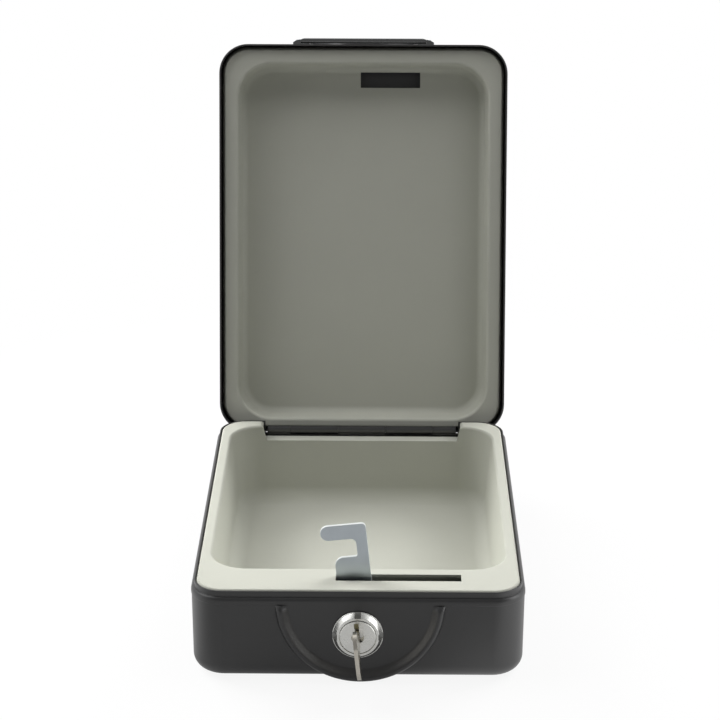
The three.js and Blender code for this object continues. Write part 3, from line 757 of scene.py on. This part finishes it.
lock = {
    "bezelRadius": 12.9,
    "bezelFaceRadius": 10.8,
    "bezelProud": 3.3,
    "seat": 0.8,  # beyond the front wall
    "ease": 0.15,
    "faceEdge": (0.05, 0.12),  # outwards and back, where the face turns into the slope
    "rim": ((0.62, 1.25), (0.4, 0.85), (0.1, 0.75), (0, 0.6)),  # inside the radius, and in front of the seat
    "barrelRadius": 9.4,
    "barrelLength": 15,
    "plugFaceRadius": 9.05,
    "plugFaceThickness": 1.6,
    "plugFaceGap": 0.35,
    "plugProud": 0.2,
    "plugEdge": 0.2,
    "plugRadius": 6.2,
    "counterDepth": 2,
    "shoulder": 1.3,  # in front of the middle of the hook
    "studRadius": 2.6,
    "studLength": 6.3,  # behind the middle of the hook
    "notchHalf": 1.65,
    "notchFloor": 10.4,
    "notchEnd": 16,  # past the rim
    "notchDepth": 2.8,
    "sinkRadius": 3.2,
    "sinkDepth": 2.4,
    "slotHalf": 1.15,
    "slotTop": 7.8,
    "slotBottom": -3.3,
    "slotDepth": 1.9,
    "keywayDepth": 17.8,
}
lockSeat = frontWall - lock["seat"]
bezelFace = lockSeat - lock["bezelProud"]
plugFace = bezelFace - lock["plugProud"]


def makeLockBody():
    radius, faceRadius, barrel = lock["bezelRadius"], lock["bezelFaceRadius"], lock["barrelRadius"]
    bore = lock["plugRadius"] + safe["gap"]
    counter = lock["plugFaceRadius"] + lock["plugFaceGap"]
    counterBack = plugFace + lock["counterDepth"]
    end = frontWall + lock["barrelLength"]
    ease = lock["ease"]
    out, back = lock["faceEdge"]
    profile = [
        (bore, end), (bore, counterBack), (counter, counterBack), (counter, bezelFace + ease),
        (counter + ease, bezelFace), (faceRadius - ease, bezelFace), (faceRadius + out, bezelFace + back),
    ]
    profile += [(radius - inside, lockSeat - rise) for inside, rise in lock["rim"]]
    profile += [(radius, lockSeat), (barrel, lockSeat), (barrel, end)]
    half, notchBack = lock["notchHalf"], bezelFace + lock["notchDepth"]
    points, faces = block((-half, bezelFace - 1, lock["notchFloor"]), (half, notchBack, lock["notchEnd"]))
    notches = []
    for k in range(4):
        turn = Matrix.Rotation(math.pi / 2 * k, 4, "Y")
        notches.append(([tuple(turn @ Vector(p)) for p in points], faces))
    bezel = makePiece("lockBody", "base", chrome, [turned(profile)], nodes=["lock_body"],
                      cuts=notches, place=onLock, sharp=25)
    # the notches' floors get the dark chrome: painted shade
    bezel.data.materials.append(notchShadeChrome)  # on the notches' floors
    for face in bezel.data.polygons:
        face.material_index = int(abs(face.center.y / mm - notchBack) < 0.05)


def makeLockPlug():
    face, shaft, stud = lock["plugFaceRadius"], lock["plugRadius"], lock["studRadius"]
    edge, axis = lock["plugEdge"], 0.01
    faceBack = plugFace + lock["plugFaceThickness"]
    shoulder, end = hookMiddle - lock["shoulder"], hookMiddle + lock["studLength"]
    profile = [
        (axis, plugFace), (face - edge, plugFace), (face, plugFace + edge), (face, faceBack),
        (shaft, faceBack), (shaft, shoulder), (stud, shoulder), (stud, end), (axis, end),
    ]
    half, bottom, front = lock["slotHalf"], lock["slotBottom"], plugFace - 1
    slot = block((-half, front, bottom), (half, plugFace + lock["slotDepth"], lock["slotTop"]))
    deep = block((-half, front, bottom), (half, plugFace + lock["keywayDepth"], -bottom))
    sink = rod(lock["sinkRadius"], front, plugFace + lock["sinkDepth"], (0, 0), "Y", edge=0.01, steps=40)
    makePiece("lockPlug", "lock", chrome, [turned(profile)], nodes=["lock_plug"],
              cuts=[slot, deep, sink], place=onPlug, sharp=25)


guard = {
    "gap": 0.05,
    "front": 0.9,  # behind the plug's face
    "back": 1.85,
    "bottom": 0.9,  # above the round sink
    "top": 0.1,  # below the slot's top
    "ease": 0.2,
}


# a plate behind the plug's face stands for the wafers' brass seen in the slot, darkened as painted shade
def makeKeyholeGuard():
    half = lock["slotHalf"] - guard["gap"]
    bottom, top = lock["sinkRadius"] + guard["bottom"], lock["slotTop"] - guard["top"]
    plate = block((-half, plugFace + guard["front"], bottom), (half, plugFace + guard["back"], top))
    makePiece("keyholeGuard", "lock", slotShadeBrass, [plate], bevel=guard["ease"], place=onPlug)


hook = {
    "thickness": 2,
    "halfWidth": 9.1,
    "leftHalf": 8.5,
    "top": 52.5,
    "barHeight": 8.1,
    "throat": 9.8,
    "reach": 14.3,
    "stem": 5.8,
    "holeRadius": 3.2,
    "tipRadius": 4,
    "edgeRadius": 4.6,
    "cornerRadius": 2.2,
    "innerRadius": 2.6,
    "throatRadius": 1.2,
    "ease": 0.35,
}


def makeHook():
    half, top, tip = hook["halfWidth"], hook["top"], hook["tipRadius"]
    under = top - hook["barHeight"]
    throat = under - hook["throat"]
    stem = half - hook["stem"]
    corner, inner = hook["cornerRadius"], hook["innerRadius"]
    small, edge = hook["throatRadius"], hook["edgeRadius"]
    outline = curve(half - corner, top - corner, corner, 0, 90)
    outline += curve(tip - hook["reach"], top - tip, tip, 90, 180, 10)
    outline += curve(tip - hook["reach"], under + tip, tip, 180, 270, 10)
    outline += curve(stem - inner, under - inner, inner, 90, 0)
    outline += curve(stem - small, throat + small, small, 0, -90)
    outline += curve(edge - hook["leftHalf"], throat - edge, edge, 90, 180)
    outline += curve(0, 0, half, 180, 360, 24)
    front = hookMiddle - hook["thickness"] / 2
    hole = rod(hook["holeRadius"], front - 2, front + 5, (0, 0), "Y", edge=0.01)
    shell = sheet(outline, front, front + hook["thickness"])
    plate = makePiece("hookPlate", "lock", zinc, [shell], nodes=["hook_cam"],
                      cuts=[hole], bevel=hook["ease"], place=onPlug)
    # the hook's edges get the pale zinc, a painted highlight from the light above
    plate.data.materials.append(paintedEdgeHighlight)  # on all faces that lean away from the plate's two flats
    for face in plate.data.polygons:
        face.material_index = int(abs(face.normal.y) < 0.85)


keyPiece = {
    "thickness": 2,
    "bladeThickness": 1.8,
    "bladeHalf": 3,
    "bladeLength": 17.5,
    "bladeTip": 2,
    "cuts": (0.7, 1.4, 0.4, 1.1, 0.7),
    "firstCut": 3.2,  # behind the plug's face
    "cutPitch": 2.8,
    "cutTopHalf": 1.2,
    "cutFloorHalf": 0.5,
    "bowHalf": 12.5,
    "bowFront": 26.6,
    "bowBack": 14.3,
    "bowRadius": 7,
    "shoulderRadius": 4,
    "neckHalf": 4,
    "neckRadius": 2,
    "neckEnd": 0.3,  # in front of the plug's face
    "holeRadius": 2.8,
    "ease": 0.25,
}


def keyBow():
    front, back = plugFace - keyPiece["bowFront"], plugFace - keyPiece["bowBack"]
    tall, neck, turn = keyPiece["bowHalf"], keyPiece["neckHalf"], keyPiece["neckRadius"]
    corner, shoulder = keyPiece["bowRadius"], keyPiece["shoulderRadius"]
    neckEnd = plugFace - keyPiece["neckEnd"]
    bow = [(neckEnd, neck)] + curve(back + turn, neck + turn, turn, 270, 180)
    bow += curve(back - shoulder, tall - shoulder, shoulder, 0, 90)
    bow += curve(front + corner, tall - corner, corner, 90, 180, 12)
    bow += curve(front + corner, corner - tall, corner, 180, 270, 12)
    bow += curve(back - shoulder, shoulder - tall, shoulder, 270, 360)
    return bow + curve(back + turn, -neck - turn, turn, 180, 90) + [(neckEnd, -neck)]


def keyShaft():
    half, tip = keyPiece["bladeHalf"], keyPiece["bladeTip"]
    start, end = plugFace - 2, plugFace + keyPiece["bladeLength"]
    wide, narrow = keyPiece["cutTopHalf"], keyPiece["cutFloorHalf"]
    shaft = [(start, -half), (end - tip, -half), (end, tip - half)]
    shaft += [(end, half - 2 * tip), (end - tip, half - tip)]
    for k, cut in reversed(list(enumerate(keyPiece["cuts"]))):
        y = plugFace + keyPiece["firstCut"] + keyPiece["cutPitch"] * k
        shaft += [(y + wide, half), (y + narrow, half - cut), (y - narrow, half - cut), (y - wide, half)]
    return shaft + [(start, half)]


def makeKey():
    radius = keyPiece["holeRadius"]
    bow = blade(keyBow(), keyPiece["thickness"])
    shaft = blade(keyShaft(), keyPiece["bladeThickness"])
    hole = rod(radius, -5, 5, (plugFace - keyPiece["bowFront"] + 2 * radius, 0), "X", edge=0.01)
    makePiece("keyMade", "key", nickel, [bow], nodes=["key"], joined=[shaft], cuts=[hole],
              bevel=keyPiece["ease"], place=onPlug)


makeLockBody()
makeLockPlug()
makeKeyholeGuard()
makeHook()
makeKey()
print("lock made")


# lid, drawn closed and then opened

lid = {
    "wall": 1,
    "height": 36.2,
    "topRadius": 9,
    "rimEdge": 0.4,
    "rimEase": 0.12,
    "recessSide": 8.2,
    "recessFront": 8.7,
    "recessRear": 5.2,
    "recessCorner": 20,
    "recessDepth": 22,
    "draft": 1.2,
    "fillet": 4,
    "lip": 1.8,
    "panel": 1,
    "flangeRise": 0.7,  # above the base liner's top when shut
    "flangeEdge": 1,
    "rib": ((-1.5, 6), (-1.5, 13), (-0.5, 13), (-0.5, 6)),  # past the flange's edge, and above the flange
    "slotFront": 3.2,  # from the middle of the hook
    "slotBack": 6,
    "slotGap": 0.6,
    "reliefDepth": 3.2,  # for the hinge
    "reliefTop": 60.4,
}
lidTop = lidRim + lid["height"]


def makeLidShell():
    radius, wall = lid["topRadius"], lid["wall"]
    edge, ease = lid["rimEdge"], lid["rimEase"]
    profile = arc(radius, lidTop - radius, radius, 90, 0, 12)
    profile += [(0, lidRim + edge), (ease, lidRim + ease), (edge, lidRim)]
    profile += [(wall - edge, lidRim), (wall - ease, lidRim + ease), (wall, lidRim + edge)]
    profile += arc(radius, lidTop - radius, radius - wall, 0, 90, 8)
    makePiece("lidShell", "lid", blackCoat, [dish(safePlan, profile)],
              nodes=["lid_shell"], place=openLid)


def lidSlotEnds():
    # the slot lets the hook in upright and on its way down
    rise = lidRim + lid["recessDepth"] - safe["lockHeight"]
    stem = hook["halfWidth"] - hook["stem"]
    left = stem - rise * math.tan(math.radians(-safe["lockLean"])) - lid["slotGap"]
    tip = hook["tipRadius"]
    reach = math.hypot(hook["reach"] - tip, hook["top"] - tip) + tip
    return left, math.sqrt(reach ** 2 - rise ** 2) + lid["slotGap"]


def makeLidLiner():
    inset, thick = tray["edgeInset"], tray["thickness"]
    flange = safe["tongueTop"] + safe["gap"] + lid["flangeRise"]
    panel = lidRim + lid["recessDepth"]
    half = safe["width"] / 2 - inset - lid["recessSide"]
    front = -safe["depth"] / 2 + inset + lid["recessFront"]
    rear = safe["depth"] / 2 - inset - lid["recessRear"]
    recess = {
        "width": 2 * half,
        "depth": rear - front,
        "corner": lid["recessCorner"],
        "y": (front + rear) / 2,
    }
    bulge = grownPlan(recess, thick)
    fillet, lip, edge = lid["fillet"], lid["lip"], lid["flangeEdge"]
    foot = lid["draft"] + fillet
    rings = planRings(recess, arc(foot, panel - fillet, fillet, 90, 0, 10))
    rings += planRings(recess, arc(-lip, flange + lip, lip, 180, 270, 8))
    rings += planRings(safePlan, arc(inset + edge, flange + edge, edge, -90, -30, 4))
    rings += [planRing(safePlan, inset + past, flange + rise) for past, rise in lid["rib"]]
    rings += [planRing(safePlan, inset + edge, flange + thick), planRing(bulge, 0, flange + thick)]
    rings += planRings(bulge, arc(foot, panel + lid["panel"] - fillet, fillet, 0, 90, 8))
    left, right = lidSlotEnds()
    slot = block((left, hookMiddle - lid["slotFront"], panel - 3),
                 (right, hookMiddle + lid["slotBack"], panel + 5))
    side, back = base["notchHalf"], safe["depth"] / 2
    relief = block((-side, back - lid["reliefDepth"], flange - 3), (side, back + 2, lid["reliefTop"]))
    makePiece("lidLiner", "lid", trayLining, [loft(rings)], nodes=["lid_liner"],
              cuts=[slot, relief], place=openLid)


handle = {
    "thickness": 3,
    "radius": 33.7,
    "grip": 3.8,
    "gripEase": 0.6,
    "barHalf": 37,
    "standOff": 0.6,
    "pivotRise": 2.7,
    "edge": 1.4,
    "ends": ((0, 1.0), (0.15, 0.75), (0.6, 0.45), (1.4, 0.18), (2.4, 0)),  # in from the end, off the front
    "lug": 4.4,
    "lugHalf": 2.3,
    "lugGap": 0.06,
    "lugDrop": 2.4,
    "lugShoulder": (0.6, 0.55),  # shares of the lug's width and drop
    "lugEase": 0.2,
    "endDrop": 0.7,
    "foot": 0.5,  # the lug's foot plate under the bar's end
    "footSunk": 0.2,  # into the lid's wall
    "footReach": 5,
    "pinRadius": 0.7,
    "pinIn": 5,  # into the bar
    "pinOut": 2.6,  # into the lug
}
handleHeel = handle["thickness"] / 2
handleY = -safe["depth"] / 2 - handle["standOff"] - handleHeel
handleZ = safe["collarTop"] + handle["pivotRise"]


def barRing(x, drop):
    # a section of the bar, whose front drops back near the ends
    flat, edge = handleHeel - handle["edge"], handle["edge"]
    ring = []
    for quarter, (across, up) in enumerate(((1, 1), (-1, 1), (-1, -1), (1, -1))):
        for k in range(9):
            angle = math.pi / 2 * (quarter + k / 8)
            y = handleY - across * flat - edge * math.cos(angle)
            z = handleZ + up * flat + edge * math.sin(angle)
            ring.append((x, max(y, handleY - handleHeel + drop), z))
    return ring


def makeGrip():
    half, radius = handle["barHalf"], handle["radius"]
    inner = radius - handle["grip"]
    top = pocket["centre"] + 2 * (handleZ - pocket["centre"])  # so that it comes down round the lock
    low, heel = handleZ + handleHeel, handleHeel
    outside = [(-radius, handleZ), (radius, handleZ)] + curve(0, top, radius, 0, 180, 64)
    inside = [(-inner, low), (inner, low)] + curve(0, top, inner, 0, 180, 64)
    right = [(half - x, drop) for x, drop in handle["ends"]]
    left = [(-x, drop) for x, drop in right]
    bar = loft([barRing(x, drop) for x, drop in left + right[::-1]])
    makePiece("handleGrip", "handle", handleBlack, [bar], nodes=["handle_grip"],
              joined=[sheet(outside, handleY - heel, handleY + heel)],
              cuts=[sheet(inside, handleY - 5, handleY + 5)],
              bevel=handle["gripEase"], place=openLid, sharp=35)


def makeLug(side, word):
    half, tall, width = handle["barHalf"], handle["lugHalf"], handle["lug"]
    start = half + handle["lugGap"]
    end = side * (start + width)
    lidFront = -safe["depth"] / 2
    wall = lidFront - safe["gap"]
    front = handleY - handleHeel
    across, back = handle["lugShoulder"]
    outline = [
        (side * start, wall), (end, wall), (end, front + handle["lugDrop"]),
        (side * (start + across * width), front + back * handle["lugDrop"]),
        (side * start, front + handle["endDrop"]),
    ]
    low, high = handleZ - tall, handleZ + tall
    lug = loft([[(x, y, low) for x, y in outline], [(x, y, high) for x, y in outline]])
    near, far = sorted((side * (half - handle["footReach"]), end))
    foot = block((near, lidFront - handle["foot"], low), (far, lidFront + handle["footSunk"], high))
    makePiece(word + "Lug", "lid", handleBlack, [lug], nodes=["handle_lug_" + word],
              joined=[foot], bevel=handle["lugEase"], place=openLid)
    ends = sorted((side * (half - handle["pinIn"]), side * (start + handle["pinOut"])))
    pinRod = rod(handle["pinRadius"], ends[0], ends[1], (handleY, handleZ), "X", steps=24)
    makePiece(word + "HandlePin", "lid", zinc, [pinRod],
              nodes=["handle_pin_" + word], place=openLid)


makeLidShell()
makeLidLiner()
makeGrip()
for side, word in ((-1, "left"), (1, "right")):
    makeLug(side, word)
print("lid made")


# nodes that keep the frame's own shape

def dress(names, finish):
    for name in names:
        kept = frame["nodes"][name]
        kept.data.materials.clear()
        kept.data.materials.append(finish)


dress(["lock_washer", "lock_nut", "cam_washer", "cam_nut"], zinc)
# the strike bracket, seen through the lid's slot, gets the darkened zinc: painted shade
dress(["strike_bracket"], slotShadeZinc)
dress([f"lock_wafer_{k}" for k in range(1, 6)], brass)


# camera, floor and light

view = {
    "lens": 111.25,
    "place": (9.58, -1115.5, 551.7),
    "pitch": 20.68,
    "yaw": -0.5,
    "roll": 0.12,
}


def makeCamera():
    pitch, yaw, roll = (math.radians(view[k]) for k in ("pitch", "yaw", "roll"))
    forward = Vector((math.sin(yaw) * math.cos(pitch), math.cos(yaw) * math.cos(pitch), -math.sin(pitch)))
    level = Vector((math.cos(yaw), -math.sin(yaw), 0))
    up = level.cross(forward)
    right = math.cos(roll) * level + math.sin(roll) * up
    up = -math.sin(roll) * level + math.cos(roll) * up
    turn = Matrix((right, up, -forward)).transposed().to_4x4()
    data = bpy.data.cameras.new("camera")
    data.lens = view["lens"]
    data.sensor_width = 36
    data.clip_start = 0.05
    data.clip_end = 60
    camera = bpy.data.objects.new("camera", data)
    camera.matrix_world = Matrix.Translation(Vector(view["place"]) * mm) @ turn
    bpy.context.scene.collection.objects.link(camera)
    bpy.context.scene.camera = camera


floorLook = {
    "half": 4000,
    "drop": 0.2,
    "bounce": 0.45,
    "shade": 0.85,
    "shadow": 0.1,
    "shadowEdge": (0.15, 0.45),  # metres from the safe's middle
    "frontGlow": 0.34,
    "frontGrey": 0.12,
    "frontEdge": (-0.12, -0.04),  # metres from the safe's middle, straight ahead
    "asideLean": 0.6,  # how that edge comes forward to both sides
    "rightLean": 0.35,  # and more to the right
}


def makeFloor():
    # white to the camera with the safe's shadow near it, plain grey for the light it gives back,
    # and darker in front of the safe for what metal and gloss reflect
    half, low = floorLook["half"], -floorLook["drop"]
    corners = [(-half, -half, low), (half, -half, low), (half, half, low), (-half, half, low)]
    floor = rawMesh("floor", [(corners, [(0, 1, 2, 3)])])
    material, start = newFinish("floorWhite")
    camera = start.node("LightPath", out="Is Camera Ray")
    glossy = start.node("LightPath", out="Is Glossy Ray")
    place = start.node("TexCoord", out="Object")
    across = start.node("SeparateXYZ", None, {0: place}, out="X")
    aside = start.node("Math", {"operation": "ABSOLUTE"}, {0: across})
    along = start.node("SeparateXYZ", None, {0: place}, out="Y")
    ahead = along + floorLook["asideLean"] * aside + floorLook["rightLean"] * across
    mirrored = mapped(start, ahead, floorLook["frontEdge"], floorLook["frontGlow"], 1)
    spot = start.node("VectorMath", {"operation": "LENGTH"}, {0: place}, out=1)
    near = mapped(start, spot, floorLook["shadowEdge"], floorLook["shadow"], 0, smooth=False)
    own = blended(start, camera, grey(floorLook["bounce"]), grey(floorLook["shade"]))
    dimmed = blended(start, glossy * (1 - mirrored), own, grey(floorLook["frontGrey"]))
    seen = camera + glossy * mirrored
    plain = start.node("BsdfDiffuse", None, {"Color": dimmed})
    glow = start.node("Emission", None, {"Color": grey(1), "Strength": 1})
    both = start.node("MixShader", None, {0: seen * (1 - near), 1: plain, 2: glow})
    start.node("OutputMaterial", None, {"Surface": both})
    floor.data.materials.append(material)


studio = {
    "ambient": 0.02,
    "frontGlow": 0.25,
    "backGlow": 0.85,
    "backShare": 0.9,
    "edge": (0.1, 0.65),
}


def makeWorld():
    # white to the camera and almost dark as a light; metal and gloss see it pale behind and beside
    # the safe, and darker above and in front of it
    world = bpy.data.worlds.new("studio")
    world.use_nodes = True
    world.node_tree.nodes.clear()
    start = Shade(world.node_tree)
    ambient = studio["ambient"]
    towards = start.node("TexCoord", out="Generated")
    across = start.node("SeparateXYZ", None, {0: towards}, out="X")
    aside = start.node("Math", {"operation": "ABSOLUTE"}, {0: across})
    around = start.node("SeparateXYZ", None, {0: towards}, out="Y") * studio["backShare"] + aside
    mirrored = mapped(start, around, studio["edge"], studio["frontGlow"], studio["backGlow"])
    camera = start.node("LightPath", out="Is Camera Ray")
    seen = camera + start.node("LightPath", out="Is Glossy Ray") * mirrored
    light = start.node("Background", None, {"Color": grey(1), "Strength": ambient + (1 - ambient) * seen})
    start.node("OutputWorld", None, {"Surface": light})
    bpy.context.scene.world = world


# place, target and size in metres, and power in watts
lamps = {
    "top": ((0, 0.05, 1.2), (0, 0.05, 0), (1.0, 1.0), 2.6),
    "topRight": ((0.6, 0.05, 1.0), (0, 0.05, 0), (0.6, 0.6), 2.4),
    "topLeft": ((-0.6, 0.05, 1.0), (0, 0.05, 0), (0.6, 0.6), 3.7),
    "left": ((-1.1, 0, 0.45), (0, 0, 0.05), (0.9, 0.8), 2.2),
    "rightBack": ((0.9, 0.7, 0.6), (0, 0, 0.05), (0.8, 0.8), 17),
    "leftBack": ((-0.9, 0.7, 0.6), (0, 0, 0.05), (0.8, 0.8), 22),
    "rightFront": ((0.9, -0.9, 0.5), (0, 0, 0.05), (0.7, 0.7), 1.2),
    "rightStrip": ((1.0, -0.2, 0.4), (0, -0.1, 0.03), (0.6, 1.0), 2.6),
    "leftStrip": ((-0.75, 0.0, 0.95), (0, -0.1, 0.03), (0.5, 0.8), 2.0),
}
mirroredLamps = ("rightStrip", "leftStrip")  # shown by metal and gloss only; the rest light what is matt


def makeLamps():
    for name, (place, target, size, power) in lamps.items():
        data = bpy.data.lights.new(name, "AREA")
        data.shape = "RECTANGLE"
        data.size, data.size_y = size
        data.energy = power
        lamp = bpy.data.objects.new(name, data)
        lamp.visible_glossy = name in mirroredLamps
        lamp.visible_diffuse = name not in mirroredLamps
        lamp.location = place
        lamp.rotation_euler = (Vector(target) - Vector(place)).to_track_quat("-Z", "Y").to_euler()
        bpy.context.scene.collection.objects.link(lamp)


makeCamera()
makeFloor()
makeWorld()
makeLamps()
bpy.context.scene.view_settings.view_transform = "Standard"
print("camera, floor and lamps made")
